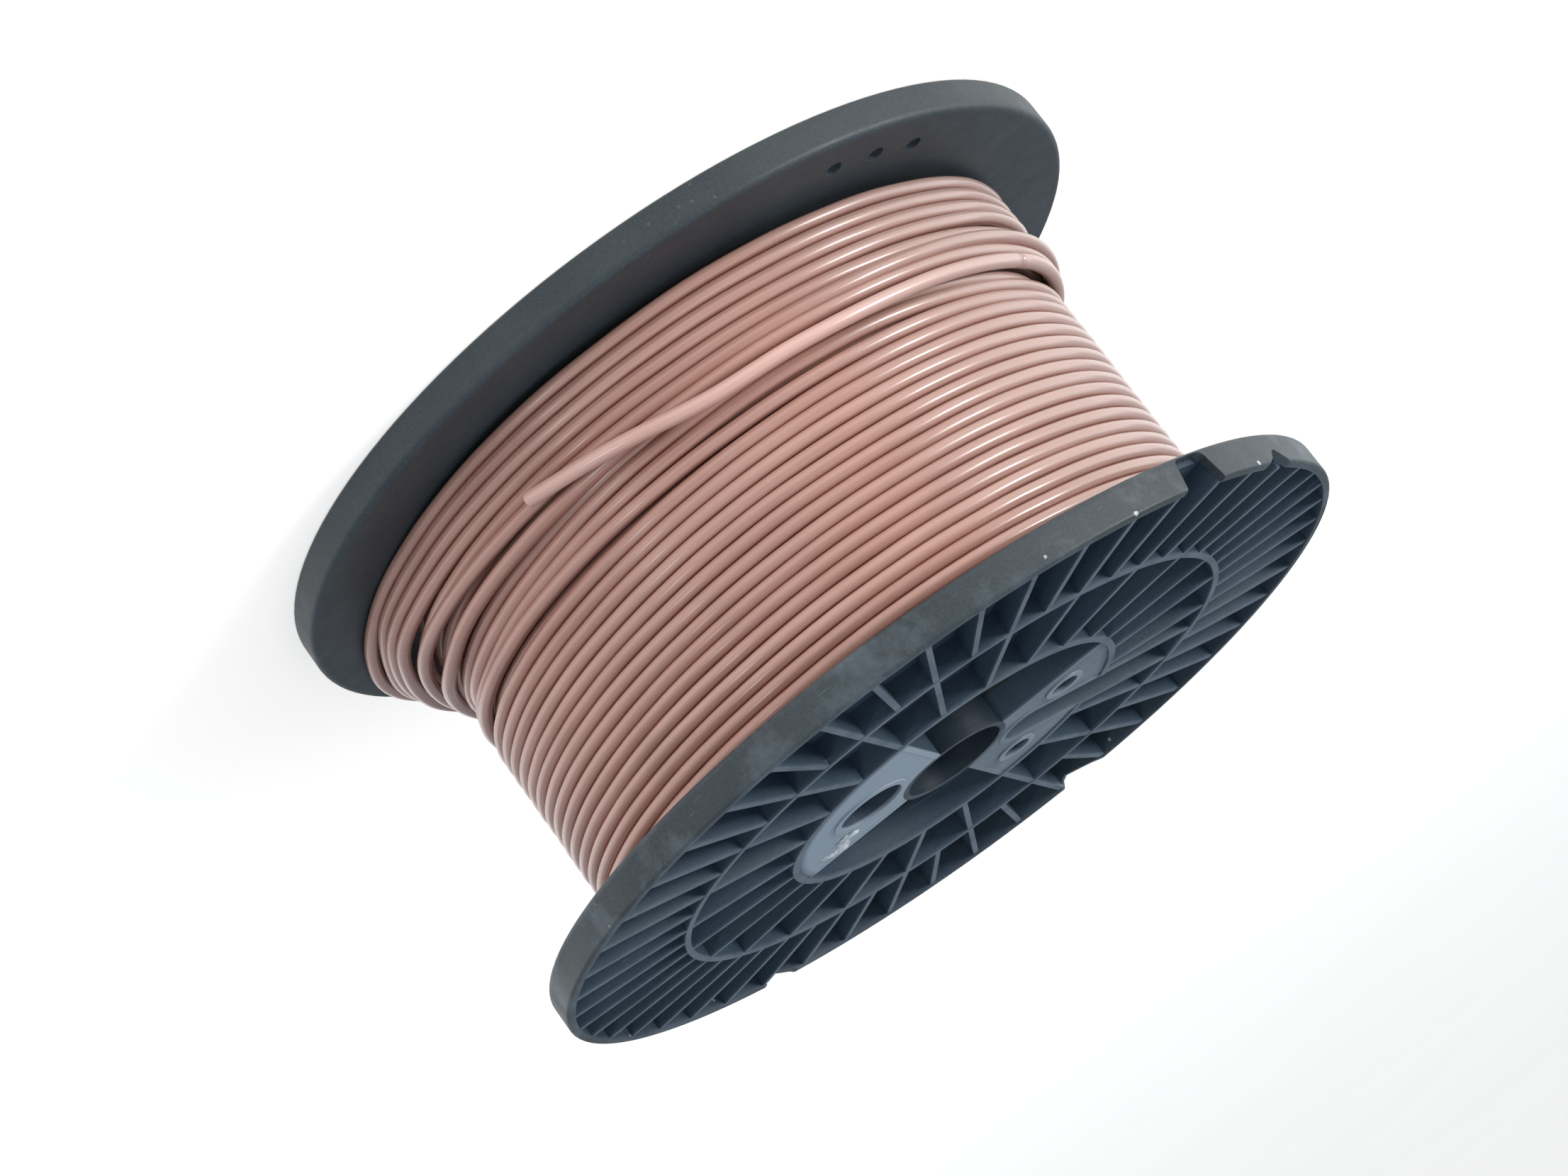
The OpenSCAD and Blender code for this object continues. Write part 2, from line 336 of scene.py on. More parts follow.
# Where a flange's marks and shades begin and end, in metres: radii from the axis, and depths
# below the outer face. Each pair is the value with none of the effect, then the one with all.
INSIDE_RIM_WALL_M = (0.0986, 0.0976)
RIM_WALL_M = (0.0978, 0.0986)
RIB_REACH_M = (0.0982, 0.0978)
HUB_REACH_M = (0.0405, 0.0385)
OUTER_BAND_M = (0.0925, 0.0955)
RECESS_DEPTH_M = (0.0074, 0.0068)
TOP_DEPTH_M = (0.0011, 0.0004)
LIP_DEPTH_M = (0.0004, 0.0002)
SPECK_EDGE_M = (0.0012, 0.0009)     # measured from a white speck's centre
DRIVE_SIDE_M = (-0.01, 0.01)        # from one hub plate to the other, along X


def flange_plastic(name, face_z, outward, marked, spots=()):
    """Dark moulded plastic. face_z is the height of the flange's outer face, in metres, and
    outward is 1 where that face looks up. marked says how strong the handling marks are, and
    spots are places, in metres, with a white speck."""
    s = Surface(name, specular=0.45)
    worn = rgb(0.14, 0.175, 0.21)
    pale = rgb(0.22, 0.265, 0.31)
    palest = rgb(0.32, 0.385, 0.45)
    chalk = rgb(0.55, 0.58, 0.6)
    cloud = s.span(s.noise(22.0, 4.0, 0.6), 0.35, 0.68)
    outer = s.mix(cloud, rgb(0.019, 0.0275, 0.033), rgb(0.031, 0.0425, 0.049))
    # Painted light: the ribbed outer face inside the rim wall is painted bluer, the tint of the cool
    # light from above.
    recess_painted_blue = s.mix(cloud, rgb(0.022, 0.043, 0.068), rgb(0.037, 0.065, 0.097))
    across, _, z = s.axes()
    radius = s.radius()
    depth = s.math("MULTIPLY", s.math("SUBTRACT", face_z, z), outward)
    # Where the painted blue goes: inside the rim wall, short of the winding-side face.
    ribbed_painted_blue = s.math("MULTIPLY", s.span(radius, *INSIDE_RIM_WALL_M), s.span(depth, *RECESS_DEPTH_M))
    colour = s.mix(ribbed_painted_blue, outer, recess_painted_blue)
    # Whatever stands out to the face is painted paler: rib tops, ring walls, rim edges, hub plates.
    top = s.span(depth, *TOP_DEPTH_M)
    patches = s.span(s.noise(95.0, 3.0, 0.6), 0.32, 0.62, 0.35, 1.0)
    raised_patches = s.math("MULTIPLY", top, patches)
    inside = s.span(radius, *HUB_REACH_M)
    plate = s.math("MULTIPLY", inside, top)
    ribs = s.math("MULTIPLY", raised_patches, s.span(radius, *RIB_REACH_M))
    colour = s.mix(s.math("MULTIPLY", ribs, 0.55), colour, worn)
    colour = s.mix(s.math("MULTIPLY", plate, 0.7), colour, worn)
    # The plate with the drive hole is painted paler than the other one.
    lean = s.math("MULTIPLY", plate, s.span(across, *DRIVE_SIDE_M, 0.0, 0.9))
    colour = s.mix(lean, colour, palest)
    scuffs = s.math("MULTIPLY", plate, s.span(s.noise(75.0, 5.0, 0.65), 0.42, 0.64, 0.0, 0.4))
    colour = s.mix(scuffs, colour, pale)
    # Painted highlight on the raised lips round the holes in the hub.
    lip_highlight = s.math("MULTIPLY", inside, s.span(depth, *LIP_DEPTH_M, 0.0, 0.7))
    colour = s.mix(lip_highlight, colour, pale)
    # Handling marks: fine pale scratches, haze on the rim and a few chalky specks near it.
    streaks = s.noise(60.0, 6.0, 0.75, s.stretched((1.0, 1.0, 7.0)))
    scratch = s.span(streaks, 0.63, 0.72, 0.0, 0.5 * marked)
    colour = s.mix(scratch, colour, worn)
    haze = s.math("MULTIPLY", s.span(s.noise(48.0, 5.0, 0.7), 0.5, 0.68, 0.0, 0.45 * marked),
                  s.span(radius, *RIM_WALL_M))
    colour = s.mix(haze, colour, worn)
    speck = s.span(s.cells(260.0), 0.12, 0.07)
    where = s.span(s.noise(28.0, 2.0, 0.5), 0.58, 0.64)
    rim = s.span(radius, *OUTER_BAND_M, 0.0, 0.7 * marked)
    marks = s.math("MULTIPLY", s.math("MULTIPLY", speck, where), rim)
    colour = s.mix(marks, colour, chalk)
    # The white specks have ragged edges.
    ragged = s.math("MULTIPLY", s.noise(900.0, 2.0, 0.6), SPECK_EDGE_M[0])
    for spot in spots:
        reach = s.math("ADD", s.distance_to(spot), ragged)
        colour = s.mix(s.span(reach, *SPECK_EDGE_M, 0.0, 0.8), colour, chalk)
    grain = s.span(s.noise(1900.0, 2.0, 0.6), 0.35, 0.65, 0.0, 0.1)
    colour = s.mix(grain, colour, worn)
    s.colour(colour)
    s.rough(s.span(s.noise(140.0, 4.0, 0.6), 0.3, 0.7, 0.46, 0.56))
    texture = s.bump(s.noise(1100.0, 3.0, 0.65), 0.00006, 0.5)
    flow = s.bump(s.noise(70.0, 3.0, 0.5), 0.00018, 0.12, texture)
    s.normal(flow)
    return s.material


def core_plastic(name, dark, light):
    """Moulded plastic with faint rings round the axis."""
    s = Surface(name, specular=0.45)
    s.colour(s.mix(s.span(s.noise(35.0, 4.0, 0.6), 0.35, 0.68), dark, light))
    s.rough(s.span(s.noise(160.0, 4.0, 0.6), 0.3, 0.7, 0.4, 0.58))
    rings = s.noise(90.0, 3.0, 0.5, s.stretched((0.3, 0.3, 8.0)))
    s.normal(s.bump(rings, 0.0001, 0.3, s.bump(s.noise(1500.0, 2.0, 0.6), 0.00004, 0.5)))
    return s.material


SHEEN_SIDE = -128                   # the angle of the side painted with sheen, toward the key light
SHEEN_REACH_M = (0.045, 0.078)      # how far that way the painted sheen starts, and where it is full


def insulation(name, deep, pale, grime_and_groove_shade):
    """Extruded wire insulation: salmon, satin, a little uneven from turn to turn. The last
    argument says how dirty it is, and how dark the painted shade in its grooves is."""
    s = Surface(name, specular=0.75)
    # The colour of the painted sheen on the side toward the key light.
    sheen_beige = rgb(0.345, 0.265, 0.24)
    dust = rgb(0.3, 0.17, 0.15)
    # The colour of the painted shade in the grooves.
    groove_shade = rgb(0.3, 0.12, 0.092)
    by_turn = s.noise(34.0, 2.0, 0.5, s.stretched((0.28, 0.28, 9.0)))
    mottle = s.noise(55.0, 1.0, 0.5)
    amount = s.math("ADD", s.math("MULTIPLY", by_turn, 0.8), s.math("MULTIPLY", mottle, 0.2))
    colour = s.mix(s.span(amount, 0.34, 0.64), deep, pale)
    # Painted sheen: the side toward the key light is painted paler and beige, as its broad reflection
    # makes it look. Its depth is measured along that side's angle.
    toward = s.add("ShaderNodeVectorMath", operation="DOT_PRODUCT")
    s.feed(toward.inputs[0], s.place)
    toward.inputs[1].default_value = tuple(from_angles(SHEEN_SIDE, 0))
    painted_sheen = s.span(toward.outputs["Value"], *SHEEN_REACH_M, 0.0, 0.65)
    colour = s.mix(painted_sheen, colour, sheen_beige)
    grime = s.span(s.noise(42.0, 2.0, 0.5), 0.56, 0.8, 0.0, 0.3 * grime_and_groove_shade)
    colour = s.mix(grime, colour, dust)
    # Painted shade darkens the grooves, where one strand meets the next.
    facing = s.add("ShaderNodeSeparateXYZ")
    s.feed(facing.inputs[0], s.add("ShaderNodeTexCoord").outputs["Normal"])
    groove_shade_mask = s.span(s.math("ABSOLUTE", facing.outputs[2]), 0.72, 1.0, 0.0, 0.7 * grime_and_groove_shade)
    colour = s.mix(groove_shade_mask, colour, groove_shade)
    s.colour(colour)
    s.rough(s.span(s.noise(40.0, 1.0, 0.5), 0.3, 0.7, 0.2, 0.29))
    s.normal(s.bump(s.noise(2600.0, 1.0, 0.5), 0.00001, 0.12))
    return s.material


def cut_copper(name):
    """Bare copper, scored by the cutters."""
    s = Surface(name, metallic=1.0)
    s.colour(s.mix(s.span(s.noise(900.0, 3.0, 0.6), 0.35, 0.65),
                   rgb(0.8, 0.55, 0.43), rgb(0.92, 0.72, 0.6)))
    s.rough(s.span(s.noise(1500.0, 2.0, 0.5), 0.3, 0.7, 0.28, 0.5))
    s.normal(s.bump(s.noise(4000.0, 2.0, 0.6, s.stretched((1.0, 1.0, 0.2))), 0.00003, 0.6))
    return s.material


def cut_insulation(name):
    """The fresh face where the cutters went through: pale and matt."""
    s = Surface(name, roughness=0.6, specular=0.4)
    s.colour(s.mix(s.span(s.noise(700.0, 3.0, 0.6), 0.35, 0.65),
                   rgb(0.74, 0.58, 0.5), rgb(0.84, 0.7, 0.62)))
    s.normal(s.bump(s.noise(2200.0, 2.0, 0.6), 0.00004, 0.5))
    return s.material


def dried_glue(name):
    """Pale glue, uneven and a little shiny."""
    s = Surface(name, specular=0.5)
    s.colour(s.mix(s.span(s.noise(420.0, 4.0, 0.6), 0.35, 0.65),
                   rgb(0.26, 0.29, 0.31), rgb(0.62, 0.66, 0.68)))
    s.rough(s.span(s.noise(500.0, 3.0, 0.6), 0.3, 0.7, 0.2, 0.45))
    s.normal(s.bump(s.noise(1400.0, 3.0, 0.6), 0.00008, 0.5))
    return s.material


FLOOR_GLOW = 0.5                    # a lit sweep: it stays near white where the light is low


def floor_surface(name):
    """White paper that glows a little."""
    s = Surface(name, specular=0.2)
    paper = s.mix(s.span(s.noise(3.0, 3.0, 0.5), 0.35, 0.65),
                  rgb(0.95, 0.915, 0.88), rgb(0.965, 0.93, 0.895))
    s.colour(paper)
    s.feed(s.shader.inputs["Emission Color"], paper)
    s.shader.inputs["Emission Strength"].default_value = FLOOR_GLOW
    s.rough(s.span(s.noise(40.0, 2.0, 0.5), 0.3, 0.7, 0.75, 0.85))
    return s.material


NEAR_FACE_Z = NEAR_Z + FLANGE_T
RIM_R = 100.0
WHITE_SPECKS = [(-76.5, 103.8), (-89.2, 105.1), (-112.5, 104.7)]    # angles and heights on the rim
specks = [tuple(polar(a, RIM_R, z) * MM) for a, z in WHITE_SPECKS]
NEAR_PLASTIC = flange_plastic("near_flange_plastic", NEAR_FACE_Z * MM, 1.0, 1.0, specks)
FAR_PLASTIC = flange_plastic("far_flange_plastic", 0.0, -1.0, 0.1)
BARREL_PLASTIC = core_plastic("barrel_plastic", rgb(0.036, 0.044, 0.05), rgb(0.052, 0.062, 0.07))
HUB_PLASTIC = core_plastic("hub_plastic", rgb(0.01, 0.02, 0.03), rgb(0.016, 0.029, 0.042))
WIRE = insulation("wire_insulation", rgb(0.42, 0.212, 0.165), rgb(0.53, 0.302, 0.245), 1.0)
FREE_WIRE = insulation("free_wire_insulation", rgb(0.66, 0.39, 0.33), rgb(0.74, 0.46, 0.4), 0.25)
CUT_WIRE = cut_insulation("cut_insulation")
COPPER = cut_copper("wire_core_copper")
GLUE = dried_glue("dried_glue")

# ---- Free end of the wire, before everything else ----

tail_path = smooth_route(TAIL_ROUTE, TAIL_STEPS)
tail_points, tail_faces = tube(tail_path, WIRE_R, ROUND_SIDES, start_shrink=1)
tail = new_object("free_wire_end", tail_points, tail_faces, [FREE_WIRE, CUT_WIRE])
tail.data.polygons[len(tail_faces) - 1].material_index = 1
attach(tail, BODY)
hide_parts("wire_tail")

end_heading = tail_path[-1] - tail_path[-2]
end_heading /= np.linalg.norm(end_heading)
# The cut core stands a little proud of the insulation. These are places along it, measured
# from the insulation's cut end.
CORE_PLACES = (-1.2, -0.4, 0.15, 0.38)
CORE_SHRINK = 0.8
core_path = [tail_path[-1] + place * end_heading for place in CORE_PLACES]
core_points, core_faces = tube(core_path, CORE_D / 2, ROUND_SIDES, 1, CORE_SHRINK)
core = new_object("cut_copper_core", core_points, core_faces, [COPPER])
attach(core, BODY)
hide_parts("tail_conductor")

# ---- Winding ----

STEP = 2.5                          # degrees between two rings of a visible strand
HIDDEN_STEP = 5.0
EASE = 11.0                         # degrees over which a strand's knots are smoothed
EASE_STEP = 0.5
# How far a strand wanders in height and in radius, slowly and faster round the spool.
SLOW_HEIGHT, FAST_HEIGHT = 0.22, 0.09
SLOW_RADIUS, FAST_RADIUS = 0.16, 0.1


def strand_path(knots, step=STEP):
    """Points of a strand from its knots (angle, height, radius), with angles that run on past
    a turn. The height and radius ease from knot to knot, and wander a little."""
    knots = np.array(knots, float)
    angles = np.arange(knots[0, 0], knots[-1, 0] + step * 0.5, step)
    angles[-1] = knots[-1, 0]
    fine = np.arange(knots[0, 0] - 2 * EASE, knots[-1, 0] + 2 * EASE, EASE_STEP)
    half = int(EASE / EASE_STEP)
    kernel = np.hanning(2 * half + 1)
    kernel /= kernel.sum()
    values = []
    for column in (1, 2):
        first = (knots[1, column] - knots[0, column]) / (knots[1, 0] - knots[0, 0])
        last = (knots[-1, column] - knots[-2, column]) / (knots[-1, 0] - knots[-2, 0])
        raw = np.interp(fine, knots[:, 0], knots[:, column])
        raw += np.where(fine < knots[0, 0], (fine - knots[0, 0]) * first, 0)
        raw += np.where(fine > knots[-1, 0], (fine - knots[-1, 0]) * last, 0)
        smooth = np.convolve(raw, kernel, "same")
        values.append(np.interp(angles, fine, smooth))
    points = []
    for a, z, r in zip(angles, *values):
        t = math.radians(a)
        slow = Vector((math.cos(t) * 2.2, math.sin(t) * 2.2, z * 0.11))
        fast = Vector((math.cos(t) * 6.0, math.sin(t) * 6.0, z * 0.6 + 40))
        dz = SLOW_HEIGHT * noise.noise(slow) + FAST_HEIGHT * noise.noise(fast)
        dr = (SLOW_RADIUS * noise.noise(slow + Vector((9, 3, 5)))
              + FAST_RADIUS * noise.noise(fast + Vector((5, 9, 1))))
        points.append(polar(a, r + dr, min(max(z + dz, FAR_Z + WIRE_R), NEAR_Z - WIRE_R)))
    return points


# The outer layer rises with the angle. Turn 0 is the lowest of the near group, at the height
# FIRST_NEAR_Z at -89 degrees, and turns 1 to 15 lie between it and the near flange.
FIRST_NEAR_Z = 44.3
LAST_TURN = 15
NEAR_RISE = [(-145, -0.7), (-120, -0.4), (-89, 0), (-60, 0.2), (-30, 0.9), (0, 1.8), (20, 2.2),
             (40, 2.6)]
SQUEEZE = 0.25                      # how much less the last turn rises than the first
# The turns between the two groups, from the near group down: (angle, height, radius offset).
CROSSING = {
    -1: [(-145, 40.9, 0), (-120, 41.2, 0), (-89, 40.9, 0), (-60, 40.8, 0), (-30, 40.8, 0),
         (0, 40.7, 0), (20, 40.6, 0), (40, 41, 0)],
    -2: [(-145, 38.1, 0), (-120, 38.2, 0.2), (-110, 38, 0.2), (-100, 37.6, 0), (-89, 37, 0),
         (-60, 36.9, 0), (-40, 37.5, 0), (-20, 38, -0.4), (0, 38.2, -1), (20, 38.2, -0.8),
         (40, 38.4, 0), (120, 40.2, 0)],
    -3: [(-145, 36, -2.2), (-134, 36.1, -1.9), (-127, 36.2, -1), (-120, 36.3, 0.3), (-112, 36, 0.6),
         (-105, 35.3, 0.2), (-98, 34.6, 0), (-89, 33.9, -0.2), (-50, 33.9, 0), (-40, 34, 0),
         (-30, 34.6, 0), (-20, 35.2, 0), (-8, 35.8, 0), (4, 36.3, 0.2), (12, 36.3, 0),
         (20, 35.8, -1.2), (30, 35.4, -2.6), (90, 35.6, -2.5), (150, 36.2, -2), (195, 37.5, -0.4)],
    -4: [(-145, 30.8, 0), (-89, 31, 0), (-45, 31.3, 0), (-20, 32.1, 0), (0, 32.7, -0.4), (20, 32.8, -1),
         (40, 32.6, -1.4), (90, 32.6, -1.4), (150, 33.2, -1.2), (195, 35, -1.2)],
}
# The turns below FAR_TURN are even, and lie deeper on one side: (angle, radius offset).
FAR_TURN = -4
LEVEL_ANGLE = -89
FAR_HIGH_Z = 31                     # FAR_TURN's height at LEVEL_ANGLE
FAR_LOW_Z = 9.8                     # where the lowest turn starts, and the raised layer ends
FAR_SAG = [(-145, 0), (-60, 0), (0, -0.2), (30, -0.8), (100, -0.8)]
FIRST_TURN = -10
HIDDEN_SEAM = 125                   # the angle where one piece of the layer runs into the next
# The last turn slips under, between the flange and the layer, where it isn't seen.
TUCK_Z = 95.9
TUCK = [(-20, 0), (10, -0.8), (35, -3.2)]       # angle from the seam and radius offset


def turn_knots(turn):
    """One turn's knots (angle, height, radius), with angles counted within that turn."""
    if turn >= 0:
        share = 1 - SQUEEZE * turn / LAST_TURN
        return [(a, FIRST_NEAR_Z + WIRE_D * turn + h * share, LAYER_R) for a, h in NEAR_RISE]
    if turn in CROSSING:
        return [(a, z, LAYER_R + dr) for a, z, dr in CROSSING[turn]]
    low = FAR_HIGH_Z + WIRE_D * (turn - FAR_TURN)
    return [(a, low + WIRE_D * (a - LEVEL_ANGLE) / 360, LAYER_R + dr) for a, dr in FAR_SAG]


def layer_knots(first, last):
    """Knots from the hidden seam before turn first to the one in turn last."""
    every = [(a + 360 * t, z, r) for t in range(FIRST_TURN, LAST_TURN + 1) for a, z, r in turn_knots(t)]
    every = np.array(every)
    low = HIDDEN_SEAM - 360 + 360 * first
    high = HIDDEN_SEAM + 360 * last
    at = [np.interp((low, high), every[:, 0], every[:, c]) for c in (1, 2)]
    inner = every[(every[:, 0] > low + 1) & (every[:, 0] < high - 1)]
    return ([(low, at[0][0], at[1][0])] + [tuple(k) for k in inner] + [(high, at[0][1], at[1][1])])


near_knots = layer_knots(0, LAST_TURN)
last_angle = near_knots.pop()[0]
near_knots += [(last_angle + a, TUCK_Z, LAYER_R + dr) for a, dr in TUCK]
crossing_knots = layer_knots(FAR_TURN + 1, -1)
far_knots = layer_knots(FIRST_TURN, FAR_TURN)
far_knots[0] = (far_knots[0][0], FAR_LOW_Z, LAYER_R)

# The raised layer falls with the angle, from turn 6 to turn 0. Each list gives a height at
# each of RAISED_ANGLES. Turn 0's lists stop at 60 degrees, where the strand runs down to the
# far layer.
RAISED_TURN = 6
RAISED_ANGLES = [-145, -120, -110, -89, -60, -45, -30, -20, -8, 0, 8, 15, 27, 36, 45, 60, 90, 130,
                 170]
RAISED_HEIGHTS = {
    6: [33, 31, 30.9, 31, 30.9, 30.7, 30.6, 30.5, 30.5, 30.7, 31, 30.8, 29.3, 28.8, 28.7, 28.7, 28.7,
        28.7, 28.7],
    5: [28.6, 28.6, 28.6, 28.8, 28, 27.5, 26.9, 26.3, 25.6, 25.2, 24.7, 24.3, 24.2, 24.2, 24.2, 24.2,
        24.5, 25, 25.7],
    4: [26.4, 26.4, 26.1, 25.7, 24.8, 24.3, 23.8, 23.5, 23.3, 23, 22.5, 22, 21.6, 21.5, 21.5,
        21.5, 21.4, 21, 20.5],
    3: [20.1, 21.4, 22.4, 22.3, 21.5, 21, 20.6, 20.2, 19.7, 19.5, 19.4, 19.4, 19.4, 19.4, 19.4, 19.3,
        19, 18.6, 18.2],
    2: [17.8, 18.6, 19.3, 19, 18.2, 17.8, 17.3, 16.9, 16.4, 16.3, 16.2, 16.2, 16.2, 16.2, 16.2, 16.1,
        15.8, 15.4, 15],
    1: [14.6, 15.3, 16, 15.6, 15, 14.6, 14.1, 13.7, 13.2, 13, 12.9, 12.9, 12.9, 12.9, 12.9, 12.8,
        12.5, 12.1, 11.7],
    0: [11.3, 12, 12.5, 12.1, 11.7, 11.3, 10.9, 10.4, 10.1, 9.8, 9.7, 9.7, 9.7, 9.7, 9.7, 9.7],
}
# How far each turn stands out past RAISED_R. The lowest ones hang loose on one side.
RAISED_LIFT = {
    6: [0, 0, 0, 0, 0, 0, 0, 0, 0, 0, -0.2, -0.4, -0.9, -1.1, -1.2, -1.2, -1, 0, 0.8],
    5: [1.6, 1.6, 1.6, 1.2, 0.2, 0.1, 0.3, 0.8, 0.9, 1.3, 1.9, 2, 1.4, 1.4, 1.5, 1.6, 1.8, 1.8, 1.7],
    4: [0, 0, 0, 0, 0, 0, 0, 0, 0, 0, -0.1, -0.1, -0.1, -0.1, -0.1, -0.1, -0.1, 0, 0],
    3: [0, 0, 0, 0, 0, 0, 0, 0, 0.1, 1, 2.7, 4, 3.9, 5, 6.4, 7.6, 7.6, 5.5, 2],
    2: [0, 0, 0, 0, 0, 0, 0, 0, 0.1, 1, 2.6, 4.2, 4.8, 6.3, 8, 9.8, 9.8, 7, 2.6],
    1: [0, 0, 0, 0, 0, 0, 0, 0, 0.1, 0.7, 2.3, 3.9, 4.8, 7, 10.2, 12.5, 12.5, 8.5, 3],
    0: [0, 0, 0, 0, 0, 0, 0, 0, 0.3, 1, 2.6, 4.1, 7.1, 10.2, 13.4, 16.2],
}
# The strand comes up out of the layer below, and goes down into it again.
RAISED_START = [(-240, 34.5, 76), (-215, 34.4, 77), (-190, 34, 78.3), (-165, 33.4, 79.5),
                (-152, 32.7, 80.2), (-141, 31.9, 80.5), (-134, 31.6, 80.7), (-127, 31.4, 80.7)]
RAISED_END = [(74, 9.7, 96.2), (88, 9.7, 91.5), (106, 9.75, 83), (HIDDEN_SEAM, FAR_LOW_Z, LAYER_R)]
raised_knots = list(RAISED_START)
for turn in range(RAISED_TURN, -1, -1):
    turned = 360 * (RAISED_TURN - turn)
    for a, z, lift in zip(RAISED_ANGLES, RAISED_HEIGHTS[turn], RAISED_LIFT[turn]):
        if turned + a > RAISED_START[-1][0]:
            raised_knots.append((turned + a, z, RAISED_R + lift))
raised_knots += [(360 * RAISED_TURN + a, z, r) for a, z, r in RAISED_END]
# The root of the free end, which comes from under the raised turns.
root_knots = [(-184, 35, 74.6), (-172, 35, 75.6), (-160, 35.2, 77), (-150, 35.2, 78.3),
              (-143, 35.2, 79.4), (-137, 35, 80.4), (-131, 34.8, 81.1), (-125, 34.6, 81.4),
              (-119, 34.5, 81.4)]


ROOT_STEPS = 3


def root_path():
    """The root runs into the free end without a step."""
    route = [(a, r, z) for a, z, r in root_knots] + [TAIL_ROUTE[1]]
    return smooth_route(route, ROOT_STEPS)[:-ROOT_STEPS]


def winding_piece(name, parts, node):
    """Wire, made of closed parts, in place of one CAD node of the winding."""
    points, faces = joined(parts)
    obj = new_object(name, points, faces, [WIRE])
    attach(obj, BODY)
    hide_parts(node)
    return obj


TUBE_R = 1.64                       # a little under WIRE_R, so turns a wire apart don't touch
TUBE_SIDES = 12
FAR_SIDES = 10
UNDER_SIDES = 8
near_tube = tube(strand_path(near_knots), TUBE_R, TUBE_SIDES)
winding_piece("near_wire_turns", [near_tube], "near_turns")
crossing_tube = tube(strand_path(crossing_knots), TUBE_R, TUBE_SIDES)
winding_piece("crossing_wire_turns", [crossing_tube], "crossover_turns")
far_tube = tube(strand_path(far_knots, HIDDEN_STEP), TUBE_R, FAR_SIDES)
winding_piece("far_wire_turns", [far_tube], "far_turns")
raised_tube = tube(strand_path(raised_knots), TUBE_R, TUBE_SIDES)
root_tube = tube(root_path(), WIRE_R, ROUND_SIDES, end_shrink=1)
raised = winding_piece("raised_wire_turns", [raised_tube, root_tube], "raised_turns")
raised.data.materials.append(FREE_WIRE)
# The root's faces come last, and are the free end's colour.
for face in list(raised.data.polygons)[-len(root_tube[1]):]:
    face.material_index = 1

# Under them the wire goes on, crossing the other way, on the hidden layers.
# A plain ring behind them stands for all the layers further in.
UNDER_R = 74.4
UNDER_TURNS = 26
UNDER_GAP = 0.1                     # from the wire to a flange
RING_GAP = 0.05
RING_INNER_R = BARREL_R + 1
RING_OUTER_R = UNDER_R - 0.9
RING_SEGMENTS = 96
under_knots = [(0, NEAR_Z - WIRE_R - UNDER_GAP, UNDER_R),
               (360 * UNDER_TURNS, FAR_Z + WIRE_R + UNDER_GAP, UNDER_R)]
ring = lathe([(RING_INNER_R, FAR_Z + RING_GAP), (RING_OUTER_R, FAR_Z + RING_GAP),
              (RING_OUTER_R, NEAR_Z - RING_GAP), (RING_INNER_R, NEAR_Z - RING_GAP)], RING_SEGMENTS)
under_tube = tube(strand_path(under_knots, HIDDEN_STEP), TUBE_R, UNDER_SIDES)
winding_piece("under_wire_turns", [under_tube, ring], "inner_winding")

# ---- Plastic parts ----

BEVEL_M = 0.00022
MERGE_M = 1e-6
FLAT_ANGLE = 0.6                    # faces that meet flatter than this become one
EDGE_ANGLE = 38                     # edges sharper than this are rounded


def softened(node, name, material):
    """A copy of a CAD part with its moulded edges slightly rounded, as a piece of its own."""
    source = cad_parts[node]
    mesh = source.data.copy()
    mesh.name = name
    build = bmesh.new()
    build.from_mesh(mesh)
    bmesh.ops.remove_doubles(build, verts=build.verts, dist=MERGE_M)
    bmesh.ops.dissolve_limit(build, angle_limit=math.radians(FLAT_ANGLE), verts=build.verts,
                             edges=build.edges)
    build.to_mesh(mesh)
    build.free()
    mesh.materials.clear()
    mesh.materials.append(material)
    mesh.polygons.foreach_set("use_smooth", [True] * len(mesh.polygons))
    obj = bpy.data.objects.new(name, mesh)
    scene.collection.objects.link(obj)
    bevel = obj.modifiers.new("edges", "BEVEL")
    bevel.width = BEVEL_M
    bevel.segments = 2
    bevel.limit_method = "ANGLE"
    bevel.angle_limit = math.radians(EDGE_ANGLE)
    weighted = obj.modifiers.new("normals", "WEIGHTED_NORMAL")
    weighted.keep_sharp = True
    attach(obj, BODY)
    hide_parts(node)
    return obj


def repaint(node, material):
    """A CAD part that is shown as it is gets its material."""
    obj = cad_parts[node]
    if not obj.material_slots:
        obj.data.materials.append(material)
    for s in obj.material_slots:
        s.material = material


near = softened("near_flange", "near_flange_moulding", NEAR_PLASTIC)
far = softened("far_flange", "far_flange_moulding", FAR_PLASTIC)
repaint("barrel", BARREL_PLASTIC)
repaint("arbor_tube", HUB_PLASTIC)

# ---- Dried glue on the near hub plate ----

PLATE_Z = NEAR_FACE_Z - PLATE_DROP
# One smear: x, y, half width and height at points along it.
GLUE_SMEAR = [
    (22.4, 13.4, 0.9, 0.25), (23.8, 13.1, 1.4, 0.4), (25.0, 13.2, 1.9, 0.5), (25.8, 14.3, 1.8, 0.5),
    (24.9, 15.8, 1.3, 0.4), (23.9, 17.2, 1.2, 0.4), (23.3, 18.6, 1.6, 0.5), (23.8, 20.2, 1.5, 0.5),
    (25.4, 20.8, 1.1, 0.4), (27.0, 21.2, 1.2, 0.35), (28.6, 20.4, 0.8, 0.25),
]


DAB_OVERLAP = 0.7                   # how far a dab runs past its ends, in half widths
DAB_SINK = -0.15                    # how far its underside goes into the plate, in heights
COARSE_LUMPS = 0.45                 # how much a dab swells and shrinks
FINE_LUMPS = 0.18


